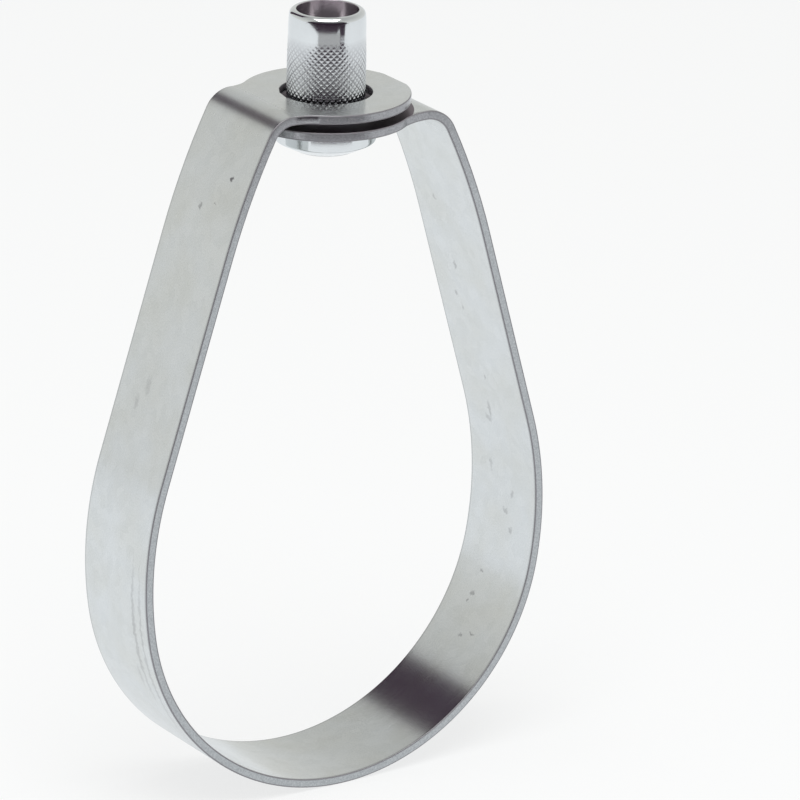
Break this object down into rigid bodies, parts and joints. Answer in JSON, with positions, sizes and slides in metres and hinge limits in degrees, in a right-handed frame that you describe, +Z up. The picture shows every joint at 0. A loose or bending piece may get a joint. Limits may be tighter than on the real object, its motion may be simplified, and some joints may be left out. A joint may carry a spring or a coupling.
{
  "type": "loop pipe hanger",
  "caption": "Steel strip bent into a pear-shaped loop with two lapped flat eyes, hung by a flanged, knurled swivel nut.",
  "frame": {"origin": "the pipe's centre: the axis of the loop's round seat, midway across the strip's width", "axes": "+Z up along the nut's axis to the rod, +Y along the pipe, +X across the loop towards the arm that carries the lower eye"},
  "size_m": [0.0775, 0.0276, 0.1312],
  "materials": {
    "galvanised_strip": "pre-galvanised sheet steel, satin grey",
    "zinc_plated_nut": "bright zinc plate over turned steel, diamond knurl on the barrel"
  },
  "bodies": {
    "nut": {"swivel_nut": "zinc_plated_nut"},
    "band": {"ring_band": "galvanised_strip"}
  },
  "joints": [
    {"name": "band_swivel", "type": "hinge", "parent": "nut", "child": "band", "pos_m": [0, 0, 0.07455], "axis": [0, 0, 1], "continuous": true}
  ]
}
